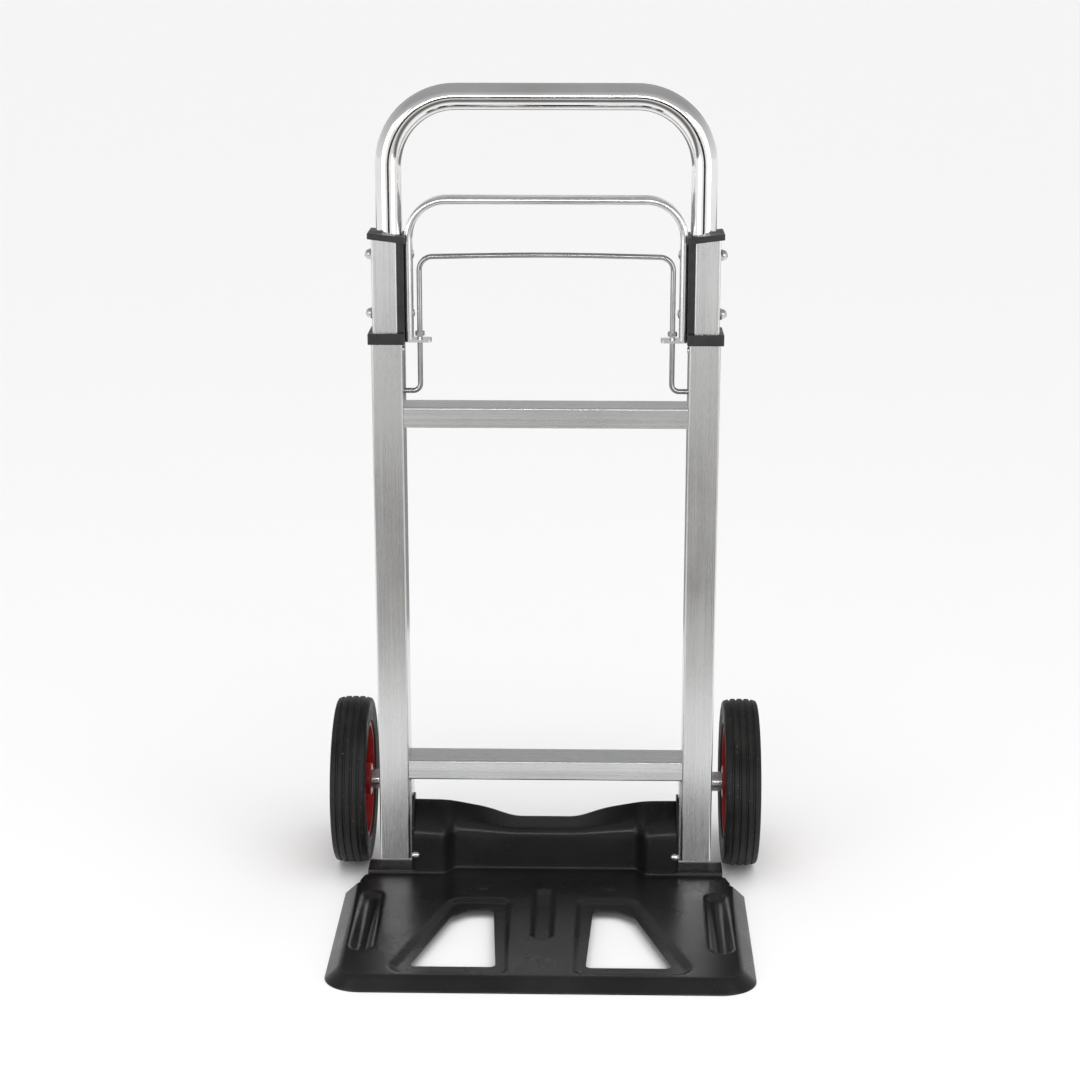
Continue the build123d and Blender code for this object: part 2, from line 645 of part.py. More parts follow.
for side, sign in SIDES:
    under_cap = cap_plane(sign, *cap_under)

    with BuildPart() as channel:
        channel_width = channel_outer_x - channel_open_x
        with BuildSketch(Plane.XY.offset(channel_bottom)):
            with Locations((sign * channel_x, rail_y)):
                RectangleRounded(channel_width, channel_depth, 1.5)
            with Locations((sign * (channel_x - channel_wall), rail_y)):
                Rectangle(channel_width, channel_inside_depth, mode=Mode.SUBTRACT)
        extrude(amount=660 - channel_bottom)
        split(bisect_by=under_cap, keep=Keep.BOTTOM)
        for height in bolt_heights:
            cut_across(sign * channel_outer_x, rail_y, height, bolt_radius, 4)
        cut_lengthwise(sign * channel_x, rail_y + channel_depth / 2, lock_z, plunger_radius + 0.3, 4)
    channel.part.label = f"slide_channel_{side}"
    export_step(channel.part, f"parts/slide_channel_{side}.step")

    # solid black block that fills the channel's top and grips the handle tube
    with BuildPart() as block:
        block_width = channel_inside_x - 0.1 - block_inner_x
        with BuildSketch(Plane.XY.offset(block_bottom)):
            with Locations((sign * (block_inner_x + block_width / 2), rail_y)):
                RectangleRounded(block_width, block_depth, 0.6)
        extrude(amount=660 - block_bottom)
        split(bisect_by=under_cap, keep=Keep.BOTTOM)
        with BuildSketch(Plane.XY.offset(grip_end)):
            with Locations((sign * grip_x, rail_y)):
                Circle(grip_radius + bush_clearance)
        extrude(amount=100, mode=Mode.SUBTRACT)
        for height in bolt_heights:
            cut_across(sign * grip_x, rail_y, height, bolt_radius, 40)
    block.part.label = f"handle_block_{side}"
    export_step(block.part, f"parts/handle_block_{side}.step")

    with BuildPart() as cap:
        with BuildSketch(Plane.XZ.offset(-cap_rear_y)):
            with BuildLine():
                Polyline((sign * cap_inner_x, cap_under[1]), (sign * cap_outer_x, cap_under[0]),
                         (sign * cap_outer_x, cap_over[0]), (sign * cap_inner_x, cap_over[1]),
                         close=True)
            make_face()
        extrude(amount=cap_rear_y - cap_front_y)
        fillet(cap.edges().filter_by(Axis.Z), 2.0)
        fillet(cap.faces().sort_by(Axis.Z)[-1].edges(), 0.8)
        # notch that the hoop's leg passes through
        notch_depth = hoop_outer_x + 0.1 - cap_inner_x + 2
        with Locations((sign * (hoop_outer_x + 0.1 - notch_depth / 2), rail_y, cap_under[1] + 5)):
            Box(notch_depth, hoop_depth + 2 * running_gap, 20, mode=Mode.SUBTRACT)
        with BuildSketch(Plane.XY.offset(640)):
            with Locations((sign * grip_x, rail_y)):
                Circle(grip_radius + bush_clearance)
        extrude(amount=30, mode=Mode.SUBTRACT)
    cap.part.label = f"channel_cap_{side}"
    export_step(cap.part, f"parts/channel_cap_{side}.step")

    # sliding guide at the channel's foot: it holds the lock plunger and its spring
    with BuildPart() as guide:
        guide_width = channel_inside_x - 0.1 - guide_inner_x
        with Locations((sign * (guide_inner_x + guide_width / 2), rail_y, (guide_bottom + guide_top) / 2)):
            Box(guide_width, block_depth, guide_top - guide_bottom)
        bore_front_y = 57.0
        bore_length = 92.0 - bore_front_y
        cut_lengthwise(sign * channel_x, bore_front_y + bore_length / 2, lock_z,
                       plunger_radius + bush_clearance, bore_length)
        with BuildSketch(Plane.XY.offset(pull_rod_bottom - 2)):
            with Locations((sign * pull_rod_x, rail_y)):
                Circle(pull_rod_radius + bush_clearance)
        extrude(amount=guide_top - pull_rod_bottom + 2, mode=Mode.SUBTRACT)
    guide.part.label = f"slide_guide_{side}"
    export_step(guide.part, f"parts/slide_guide_{side}.step")

    with BuildPart() as plunger:
        with Locations((sign * channel_x, plunger_rear_y - plunger_length / 2, lock_z)):
            Cylinder(plunger_radius, plunger_length, rotation=(90, 0, 0))
        fillet(plunger.faces().sort_by(Axis.Y)[-1].edges(), 1.2)
    plunger.part.label = f"lock_plunger_{side}"
    export_step(plunger.part, f"parts/lock_plunger_{side}.step")

    with BuildPart() as plunger_spring:
        spring_turn_height = plunger_rear_y - plunger_length - bore_front_y - 2 * spring_wire
        with BuildLine() as coil:
            Helix(pitch=spring_pitch, height=spring_turn_height, radius=spring_radius,
                  center=(sign * channel_x, bore_front_y + spring_wire, lock_z), direction=(0, 1, 0))
        with BuildSketch(Plane(origin=coil.line @ 0, z_dir=coil.line % 0)):
            Circle(spring_wire)
        sweep(is_frenet=True)
    plunger_spring.part.label = f"plunger_spring_{side}"
    export_step(plunger_spring.part, f"parts/plunger_spring_{side}.step")

# flat-oval hoop bolted to the inner side of both blocks, with an inward tab at each foot
with BuildPart() as inner_hoop:
    hoop_axis_x = hoop_outer_x - hoop_thickness / 2
    hoop_axis_top = hoop_top - hoop_thickness / 2
    tab_top = collar_bottom + foot_tab_thickness
    with BuildLine(Plane.XZ.offset(-rail_y)) as hoop_path:
        FilletPolyline((-hoop_axis_x, tab_top), (-hoop_axis_x, hoop_axis_top),
                       (hoop_axis_x, hoop_axis_top), (hoop_axis_x, tab_top), radius=hoop_bend)
    with BuildSketch(Plane(origin=hoop_path.line @ 0, x_dir=(1, 0, 0), z_dir=(0, 0, 1))):
        RectangleRounded(hoop_thickness, hoop_depth, 3.2)
    sweep()
    for side, sign in SIDES:
        with BuildSketch(Plane.XY.offset(collar_bottom)):
            with Locations((sign * (hoop_outer_x - foot_tab_length / 2 - 0.1), rail_y)):
                RectangleRounded(foot_tab_length, foot_tab_depth, 3.0)
            with Locations((sign * bail_x, rail_y)):
                Circle(bail_radius + running_gap, mode=Mode.SUBTRACT)
        extrude(amount=foot_tab_thickness)
        for height in bolt_heights:
            cut_across(sign * hoop_axis_x, rail_y, height, bolt_radius, hoop_thickness + 2)
inner_hoop.part.label = "inner_hoop"
export_step(inner_hoop.part, "parts/inner_hoop.step")

# four round-headed bolts, heads inside the hoop, dome nuts outside the channels
hoop_inner_x = hoop_outer_x - hoop_thickness
bolt_end_x = 170.0
with BuildPart() as handle_bolts:
    for side, sign in SIDES:
        for height in bolt_heights:
            bolt_section = Plane(origin=(0, rail_y, height), x_dir=(sign, 0, 0), z_dir=(0, 0, 1))
            with BuildSketch(bolt_section):
                with BuildLine():
                    Line((hoop_inner_x - 2, 0), (bolt_end_x, 0))
                    Line((bolt_end_x, 0), (bolt_end_x, bolt_radius))
                    Line((bolt_end_x, bolt_radius), (hoop_inner_x, bolt_radius))
                    Line((hoop_inner_x, bolt_radius), (hoop_inner_x, 5.0))
                    dome_arc(hoop_inner_x, 5.0, -2.0)
                make_face()
            revolve(axis=Axis((0, rail_y, height), (1, 0, 0)))
handle_bolts.part.label = "handle_bolts"
export_step(handle_bolts.part, "parts/handle_bolts.step")

nut_radius = 5.2
nut_hex_height = 2.6
with BuildPart() as dome_nuts:
    for side, sign in SIDES:
        for height in bolt_heights:
            nut_seat = Plane(origin=(sign * channel_outer_x, rail_y, height), x_dir=(0, 1, 0),
                             z_dir=(sign, 0, 0))
            with BuildSketch(nut_seat):
                RegularPolygon(radius=nut_radius + 0.6, side_count=6)
            extrude(amount=nut_hex_height)
            dome_section = Plane(origin=(0, rail_y, height), x_dir=(sign, 0, 0), z_dir=(0, 0, 1))
            hex_end = channel_outer_x + nut_hex_height
            dome_end = channel_outer_x + 7.4
            with BuildSketch(dome_section):
                with BuildLine():
                    Line((hex_end, 0), (dome_end, 0))
                    dome_arc(hex_end, 4.9, dome_end - hex_end)
                    Line((hex_end, 4.9), (hex_end, 0))
                make_face()
            revolve(axis=Axis((0, rail_y, height), (1, 0, 0)))
            bore_mid = (channel_outer_x + bolt_end_x) / 2
            cut_across(sign * bore_mid, rail_y, height, bolt_radius, bolt_end_x - channel_outer_x)
dome_nuts.part.label = "dome_nuts"
export_step(dome_nuts.part, "parts/dome_nuts.step")

# ================================================================ release bail
with BuildPart() as release_bail:
    with BuildLine(Plane.XZ.offset(-rail_y)) as bail_path:
        FilletPolyline((-bail_hook_end, bail_hook_z), (-bail_x, bail_hook_z),
                       (-bail_x, bail_top - bail_droop), (0, bail_top), (bail_x, bail_top - bail_droop),
                       (bail_x, bail_hook_z), (bail_hook_end, bail_hook_z),
                       radius=(bail_hook_bend, bail_top_bend, 2500, bail_top_bend, bail_hook_bend))
    with BuildSketch(Plane(origin=bail_path.line @ 0, z_dir=bail_path.line % 0)):
        Circle(bail_radius)
    sweep()
release_bail.part.label = "release_bail"
export_step(release_bail.part, "parts/release_bail.step")

clip_bottom = tab_top + 3.0
with BuildPart() as bail_clips:
    for side, sign in SIDES:
        with BuildSketch(Plane.XY.offset(clip_bottom)):
            with Locations((sign * bail_x, rail_y)):
                Circle(bail_radius + 2)
                Circle(bail_radius, mode=Mode.SUBTRACT)
        extrude(amount=4)
bail_clips.part.label = "bail_clips"
export_step(bail_clips.part, "parts/bail_clips.step")

for side, sign in SIDES:
    # rod that carries the bail's lift down to the lock plunger
    with BuildPart() as pull_rod:
        eye_size = 8.0
        with BuildSketch(Plane.XY.offset(pull_rod_bottom)):
            with Locations((sign * pull_rod_x, rail_y)):
                Circle(pull_rod_radius)
        extrude(amount=bail_hook_z - pull_rod_bottom)
        with Locations((sign * pull_rod_x, rail_y, bail_hook_z)):
            Box(eye_size - 2, eye_size, eye_size)
        cut_across(sign * pull_rod_x, rail_y, bail_hook_z, bail_radius, 20)
    pull_rod.part.label = f"lock_pull_rod_{side}"
    export_step(pull_rod.part, f"parts/lock_pull_rod_{side}.step")
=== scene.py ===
"""Folding hand truck: pressed toe plate, tyres, materials, floor, light and camera.

Shapes are worked out in millimetres in the CAD frame and built in metres. The
ground is z = 0, the toe plate points to -Y and the wheels trail at +Y.
"""
import math
import bmesh
import bpy
import numpy as np
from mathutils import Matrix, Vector


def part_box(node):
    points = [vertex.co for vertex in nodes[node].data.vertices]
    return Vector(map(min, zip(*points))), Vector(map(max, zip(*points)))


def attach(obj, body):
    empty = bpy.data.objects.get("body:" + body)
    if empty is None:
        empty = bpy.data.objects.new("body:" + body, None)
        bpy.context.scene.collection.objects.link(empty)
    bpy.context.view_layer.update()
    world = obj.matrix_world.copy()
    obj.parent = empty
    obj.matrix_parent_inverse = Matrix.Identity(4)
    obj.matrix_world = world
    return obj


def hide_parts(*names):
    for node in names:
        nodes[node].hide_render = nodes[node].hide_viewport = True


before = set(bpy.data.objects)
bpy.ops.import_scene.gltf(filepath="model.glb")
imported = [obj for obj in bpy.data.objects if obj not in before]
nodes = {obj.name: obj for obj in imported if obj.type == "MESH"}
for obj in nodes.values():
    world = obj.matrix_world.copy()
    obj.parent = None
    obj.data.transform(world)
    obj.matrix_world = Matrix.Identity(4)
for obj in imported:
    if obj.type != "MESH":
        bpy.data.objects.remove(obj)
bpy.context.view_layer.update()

MM = 0.001
SIDES = ("left", "right")
SIGNS = (-1, 1)


# ================================================================ mesh helpers
def mesh_object(name, vertices, faces):
    """Smooth-shaded object from points in millimetres."""
    mesh = bpy.data.meshes.new(name)
    mesh.from_pydata([(x * MM, y * MM, z * MM) for x, y, z in vertices], [], faces)
    mesh.update()
    piece = bpy.data.objects.new(name, mesh)
    bpy.context.scene.collection.objects.link(piece)
    mesh.shade_smooth()
    return piece


def finish_piece(piece, body, slot_name, material, *replaced):
    """Gives a piece its finish and body, and hides the CAD nodes that it stands for."""
    piece.data.materials.append(material)
    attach(piece, body)
    if replaced:
        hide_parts(*replaced)


def turn_faces_outward(piece):
    """Makes every face of a closed piece point outward."""
    mesh = bmesh.new()
    mesh.from_mesh(piece.data)
    bmesh.ops.recalc_face_normals(mesh, faces=mesh.faces)
    mesh.to_mesh(piece.data)
    mesh.free()


def round_sharp_edges(piece, name, width, segments, angle):
    """Bevels the edges sharper than an angle in degrees; returns the modifier."""
    edges = piece.modifiers.new(name, "BEVEL")
    edges.width = width * MM
    edges.segments = segments
    edges.limit_method = "ANGLE"
    edges.angle_limit = math.radians(angle)
    return edges


def smooth_step(value):
    """Zero at 0, one at 1, level at both ends."""
    share = np.clip(value, 0.0, 1.0)
    return share * share * (3 - 2 * share)


def rounded_outline(corners, steps=8):
    """Closed outline from (x, y, radius) corners, each rounded by an arc."""
    outline = []
    for index, (x, y, radius) in enumerate(corners):
        corner = Vector((x, y))
        to_before = (Vector(corners[index - 1][:2]) - corner).normalized()
        to_after = (Vector(corners[(index + 1) % len(corners)][:2]) - corner).normalized()
        if radius == 0:
            outline.append((x, y))
            continue
        half_angle = to_before.angle(to_after) / 2
        centre = corner + (to_before + to_after).normalized() * (radius / math.sin(half_angle))
        start = corner + to_before * (radius / math.tan(half_angle)) - centre
        stop = corner + to_after * (radius / math.tan(half_angle)) - centre
        start_angle = math.atan2(start.y, start.x)
        sweep = math.atan2(stop.y, stop.x) - start_angle
        sweep = (sweep + math.pi) % (2 * math.pi) - math.pi
        for step in range(steps + 1):
            angle = start_angle + sweep * step / steps
            outline.append((centre.x + radius * math.cos(angle), centre.y + radius * math.sin(angle)))
    return outline


def signed_distance(outline, x, y):
    """Distance of each point from a closed outline, negative inside."""
    distance = np.full(x.shape, np.inf)
    inside = np.zeros(x.shape, bool)
    for (start_x, start_y), (end_x, end_y) in zip(outline, outline[1:] + outline[:1]):
        run_x = end_x - start_x
        run_y = end_y - start_y
        along = ((x - start_x) * run_x + (y - start_y) * run_y) / (run_x ** 2 + run_y ** 2)
        along = np.clip(along, 0, 1)
        gap = np.hypot(x - start_x - along * run_x, y - start_y - along * run_y)
        distance = np.minimum(distance, gap)
        if run_y:
            straddles = (start_y > y) != (end_y > y)
            inside ^= straddles & (x < start_x + (y - start_y) * run_x / run_y)
    return np.where(inside, -distance, distance)


def slot_distance(x, y, middle_x, front_y, rear_y):
    """Distance from the straight line down the middle of a round-ended trough."""
    return np.hypot(x - middle_x, y - np.clip(y, front_y, rear_y))


# ================================================================ toe plate
# lengths in millimetres; names that end in X, Y or Z are places, SHARE and SQUASH are ratios
TOE_HEIGHT = 13.0
SHEET = 2.2
TOP_HALF_WIDTH = 185.5
TOP_FRONT_Y = -193.0
TOP_CORNER = 21.5
FLANGE_OUT_SIDE = 14.3
FLANGE_OUT_FRONT = 9.6
FLANGE_REAR_Y = 19.0
BEND = 3.0
FLANGE_FOOT_SHARE = 0.93
FLANGE_FOOT_HEIGHT = 0.8
CREASE_FRONT_Y = 40.0
WALL_END_X = 130.0
EAR_INNER_X = 131.3
EAR_OUTER_X = 133.9
SHELF_HEIGHT = 17.3
SHELF_REAR_Y = 66.0
SHELF_END_X = 178.0
GRID = 2.0
RIVET_X = 129.8
RIVET_Z = 33.0
RIVET_RADIUS = 4.3
RIVET_RISE = 3.0
RIVET_SEAT_Y = CREASE_FRONT_Y - 0.6
RIVET_BACK_Y = CREASE_FRONT_Y + 0.4
CUT_EDGE_ROUND = 0.45
EAR_EDGE_ROUND = 0.6
GRID_HALF_WIDTH = 186.0
GRID_FRONT_Y = -194.0
GRID_REAR_Y = 40.0
GRID_BLEND_Y = -20.0
BORDER_DEPTH = 3.0
BORDER_SLOPE = 7.0
SIDE_TROUGH_X = 169.0
SIDE_TROUGH_Y = (-128.0, -14.0)
SIDE_TROUGH_DEPTH = 6.0
SIDE_TROUGH_RADIUS = 12.5
SIDE_TROUGH_SLOPE = 9.5
MIDDLE_TROUGH_Y = (-98.5, 80.0)
MIDDLE_TROUGH_DEPTH = 5.0
MIDDLE_TROUGH_RADIUS = 13.5
MIDDLE_TROUGH_SLOPE = 8.5
MIDDLE_FADE_END_Y = 30.0
MIDDLE_FADE_LENGTH = 60.0
DIMPLES_X = (-61.0, 0.0, 66.0)
DIMPLES_Y = 7.0
DIMPLE_RISE = 1.3
DIMPLE_REACH = 6.0
DIMPLE_SQUASH = 1.3
STEP_BEND = 2.2
WALL_BEND_REACH = 8.0
# closed outlines of (x, y, corner radius): the right-hand one, mirrored for the left
WINDOW = ((41.5, -167, 5), (122, -167, 5), (88, -54, 16), (73, -39, 12), (48.5, -37, 6))
BORDER = ((27.5, -187, 12), (146, -187, 16), (91, -17, 16), (31, -17, 14))
# side view of a pivot ear: y, z, corner radius
EAR = ((40, 15.6, 1.5), (40, 62, 6), (60, 88, 4), (75, 88, 4), (78, 70, 4), (71, 24, 5), (67, 18, 3),
       (62, 15.6, 1.5))
# stations across the rear wall: x, front y, bend z, top y, top z
WALL = ((0, 55, 55, 82, 59.5), (32, 55, 55, 82, 59.5), (60, 55, 56, 80, 70),
        (92, 55, 57, 78, 77), (101, 40, 58, 76, 79), (132, 40, 60, 72, 81))
# outline of the deck, inside the bend of the flange, with room for the shelf at the rear
EDGE_X = TOP_HALF_WIDTH - BEND
EDGE_Y = TOP_FRONT_Y + BEND
EDGE_CORNER = TOP_CORNER - BEND
REAR_EDGE = ((EDGE_X, FLANGE_REAR_Y, 0), (TOP_HALF_WIDTH - 0.6, FLANGE_REAR_Y + 2, 0),
             (SHELF_END_X + 0.5, 43, 0), (SHELF_END_X + 0.5, 80, 0))
FLANGE_EDGE = rounded_outline(
    [(-EDGE_X, EDGE_Y, EDGE_CORNER), (EDGE_X, EDGE_Y, EDGE_CORNER), *REAR_EDGE]
    + [(-x, y, radius) for x, y, radius in reversed(REAR_EDGE)], steps=16)


def wall_station(x, column, reach):
    """One wall measure at x, averaged over x +- reach so that the pressing has no kinks."""
    places = [row[0] for row in WALL]
    values = [row[column] for row in WALL]
    offsets = np.linspace(-reach, reach, 7)
    return float(np.mean(np.interp(np.abs(x + offsets), places, values)))


def mirrored(corners, sign):
    """Outline corners carried to one side of the plate."""
    return [(sign * x, y, radius) for x, y, radius in corners]


def deck_height(x, y):
    """Height of the pressed deck: recessed borders, troughs and three small dimples."""
    height = np.full(x.shape, TOE_HEIGHT)
    for sign in SIGNS:
        border = signed_distance(rounded_outline(mirrored(BORDER, sign)), x, y)
        height = height - BORDER_DEPTH * smooth_step(-border / BORDER_SLOPE)
        trough = slot_distance(x, y, sign * SIDE_TROUGH_X, *SIDE_TROUGH_Y)
        height = height - SIDE_TROUGH_DEPTH * smooth_step((SIDE_TROUGH_RADIUS - trough) / SIDE_TROUGH_SLOPE)
    middle = slot_distance(x, y, 0.0, *MIDDLE_TROUGH_Y)
    fade = smooth_step((MIDDLE_FADE_END_Y - y) / MIDDLE_FADE_LENGTH)
    slope = smooth_step((MIDDLE_TROUGH_RADIUS - middle) / MIDDLE_TROUGH_SLOPE)
    height = height - MIDDLE_TROUGH_DEPTH * fade * slope
    for dimple_x in DIMPLES_X:
        gap = np.hypot(x - dimple_x, (y - DIMPLES_Y) * DIMPLE_SQUASH)
        height = height + DIMPLE_RISE * np.exp(-((gap / DIMPLE_REACH) ** 2))
    return height


def deck_grid():
    """Column x values and the deck's points: rows run from the front edge to the crease."""
    columns = np.arange(-GRID_HALF_WIDTH, GRID_HALF_WIDTH + 0.01, GRID)
    rows = np.arange(GRID_FRONT_Y, GRID_REAR_Y + 0.01, GRID)
    crease = np.array([wall_station(x, 1, 3.0) for x in columns]) - BEND
    share = np.clip((rows - GRID_BLEND_Y) / (rows[-1] - GRID_BLEND_Y), 0, 1)
    y = rows[:, None] + share[:, None] * (crease - rows[-1])[None, :]
    x = np.broadcast_to(columns[None, :], y.shape).copy()
    return columns, x, y


def clipped_faces(field, points):
    """Faces of a grid cut off along the zero line of a field, and the points with the cut ones."""
    row_count, column_count = field.shape
    vertices = [tuple(point) for point in points.reshape(-1, 3)]
    flat = field.reshape(-1)
    faces = []
    cut = {}

    def cut_point(first, second):
        """Index of the point where the edge between two grid points crosses zero."""
        key = (min(first, second), max(first, second))
        if key not in cut:
            low, high = flat[key[0]], flat[key[1]]
            share = low / (low - high)
            start, end = vertices[key[0]], vertices[key[1]]
            cut[key] = len(vertices)
            vertices.append(tuple(a + (b - a) * share for a, b in zip(start, end)))
        return cut[key]

    for row in range(row_count - 1):
        for column in range(column_count - 1):
            start = row * column_count + column
            ring = (start, start + 1, start + column_count + 1, start + column_count)
            face = []
            for here, after in zip(ring, ring[1:] + ring[:1]):
                if flat[here] < 0:
                    face.append(here)
                if (flat[here] < 0) != (flat[after] < 0):
                    face.append(cut_point(here, after))
            if len(face) > 2:
                faces.append(face)
    return vertices, faces


def flange_direction(x, y):
    """Outward direction of the deck's edge at a point on it."""
    corner_x = TOP_HALF_WIDTH - TOP_CORNER
    corner_y = TOP_FRONT_Y + TOP_CORNER
    out = Vector((max(abs(x) - corner_x, 0.0) * math.copysign(1, x), min(y - corner_y, 0.0)))
    if abs(out.x) > 0 and y > corner_y:
        out.y = 0
    return out.normalized()


def flange_profile():
    """(outward share, extra outward, height) steps down the flange from the deck's edge."""
    steps = []
    bend_share = 0.16
    for step in range(1, 6):
        t = step / 5
        steps.append((bend_share * t * t, -BEND * (1 - t) ** 2, TOE_HEIGHT * (1 - bend_share * t * t)))
    for share in (0.4, 0.65, 0.88):
        steps.append((share, 0.0, TOE_HEIGHT * (1 - share)))
    for height in (FLANGE_FOOT_HEIGHT, FLANGE_FOOT_HEIGHT / 2, 0.05):
        steps.append((FLANGE_FOOT_SHARE, 0.0, height))
    return steps


def bezier(start, control, end, steps):
    """Points after start on a quadratic curve."""
    curve = []
    for step in range(1, steps + 1):
        t = step / steps
        curve.append(tuple(a * (1 - t) ** 2 + 2 * b * t * (1 - t) + c * t * t
                           for a, b, c in zip(start, control, end)))
    return curve


def straight(start, end, steps):
    """Points after start on a straight line."""
    return [tuple(a + (b - a) * step / steps for a, b in zip(start, end)) for step in range(1, steps + 1)]


def wall_path(x):
    """(y, z) path of the sheet from the crease up the rear wall at x."""
    front = wall_station(x, 1, 3.0)
    bend_z = wall_station(x, 2, 8.0)
    top_y = wall_station(x, 3, 8.0)
    top_z = wall_station(x, 4, 8.0)
    lean = Vector((top_y - front, top_z - bend_z)).normalized()
    foot = (front - BEND, TOE_HEIGHT)
    wall_foot = (front, TOE_HEIGHT + BEND)
    bend_start = (front, bend_z - WALL_BEND_REACH)
    bend_end = (front + lean.x * WALL_BEND_REACH, bend_z + lean.y * WALL_BEND_REACH)
    path = [foot]
    path += bezier(foot, (front, TOE_HEIGHT), wall_foot, 5)
    path += straight(wall_foot, bend_start, 8)
    path += bezier(bend_start, (front, bend_z), bend_end, 6)
    path += straight(bend_end, (top_y, top_z), 6)
    return path


def shelf_path(x):
    """(y, z) path of the sheet from the crease over the low step beside the wall."""
    front = CREASE_FRONT_Y
    step_top = (front + STEP_BEND, SHELF_HEIGHT)
    path = [(wall_station(x, 1, 3.0) - BEND, TOE_HEIGHT)]
    path += bezier(path[0], (front, TOE_HEIGHT), (front, TOE_HEIGHT + STEP_BEND), 4)
    path += bezier(path[-1], (front, SHELF_HEIGHT), step_top, 4)
    path += straight(step_top, (SHELF_REAR_Y, SHELF_HEIGHT), 6)
    return path


def add_strip(vertices, faces, columns, path_at):
    """Adds a patch whose columns follow path_at(x)."""
    first = len(vertices)
    paths = [path_at(x) for x in columns]
    for x, path in zip(columns, paths):
        vertices += [(x, y, z) for y, z in path]
    height = len(paths[0])
    for column in range(len(columns) - 1):
        for row in range(height - 1):
            start = first + column * height + row
            faces.append((start, start + height, start + height + 1, start + 1))


def add_flange(mesh):
    """Rolls the deck's free front and side edges down to the ground."""
    profile = flange_profile()
    strips = {}

    def strip(vertex):
        """Column of vertices that runs down the flange from a deck vertex."""
        if vertex not in strips:
            x, y = vertex.co.x / MM, vertex.co.y / MM
            out = flange_direction(x, y)
            base_x, base_y = x + out.x * BEND, y + out.y * BEND
            column = [vertex]
            for share, extra, height in profile:
                reach_x = out.x * (FLANGE_OUT_SIDE * share + extra)
                reach_y = out.y * (FLANGE_OUT_FRONT * share + extra)
                column.append(mesh.verts.new(((base_x + reach_x) * MM, (base_y + reach_y) * MM, height * MM)))
            strips[vertex] = column
        return strips[vertex]

    def on_flange_edge(vertex):
        """Whether a vertex lies on the front or side edge of the deck."""
        x, y = abs(vertex.co.x) / MM, vertex.co.y / MM
        edge_gap = signed_distance(FLANGE_EDGE, np.array([x]), np.array([y]))[0]
        return y < FLANGE_REAR_Y + 0.3 and abs(edge_gap) < 0.4

    border = [edge for edge in mesh.edges if edge.is_boundary and all(map(on_flange_edge, edge.verts))]
    for edge in border:
        loop = edge.link_loops[0]
        start, end = strip(loop.vert), strip(loop.link_loop_next.vert)
        for near, far, far_next, near_next in zip(end, start, start[1:], end[1:]):
            mesh.faces.new((near, far, far_next, near_next)).smooth = True


def build_toe_plate():
    """The pressed sheet: deck with windows and troughs, flange, rear wall and step."""
    columns, x, y = deck_grid()
    field = signed_distance(FLANGE_EDGE, x, y)
    for sign in SIGNS:
        field = np.maximum(field, -signed_distance(rounded_outline(mirrored(WINDOW, sign)), x, y))
    points = np.stack([x, y, deck_height(x, y)], axis=-1)
    vertices, faces = clipped_faces(field, points)
    wall_columns = [column for column in columns if abs(column) <= WALL_END_X]
    add_strip(vertices, faces, [-EAR_INNER_X] + wall_columns + [EAR_INNER_X], wall_path)
    for sign in SIGNS:
        shelf_columns = [column for column in columns if WALL_END_X <= sign * column <= SHELF_END_X]
        add_strip(vertices, faces, shelf_columns, shelf_path)
    piece = mesh_object("toe_plate_pressing", vertices, faces)
    mesh = bmesh.new()
    mesh.from_mesh(piece.data)
    loose = [vertex for vertex in mesh.verts if not vertex.link_faces]
    bmesh.ops.delete(mesh, geom=loose, context="VERTS")
    bmesh.ops.remove_doubles(mesh, verts=mesh.verts, dist=0.08 * MM)
    add_flange(mesh)
    mesh.to_mesh(piece.data)
    mesh.free()
    sheet = piece.modifiers.new("sheet", "SOLIDIFY")
    sheet.thickness = SHEET * MM
    sheet.offset = -1
    round_sharp_edges(piece, "cut_edges", CUT_EDGE_ROUND, 2, 55)
    return piece


def build_toe_ears():
    """The two side plates that carry the pivot, with rounded corners."""
    outline = rounded_outline(EAR, steps=6)
    count = len(outline)
    vertices = []
    faces = []
    for sign in SIGNS:
        first = len(vertices)
        for x in (EAR_INNER_X, EAR_OUTER_X):
            vertices += [(sign * x, y, z) for y, z in outline]
        near = list(range(first, first + count))
        far = list(range(first + count, first + 2 * count))
        faces += [near, far[::-1]]
        for index in range(count):
            after = (index + 1) % count
            faces.append((near[index], far[index], far[after], near[after]))
    piece = mesh_object("toe_plate_ears", vertices, faces)
    turn_faces_outward(piece)
    edges = round_sharp_edges(piece, "rounded_edges", EAR_EDGE_ROUND, 3, 50)
    edges.harden_normals = True
    return piece


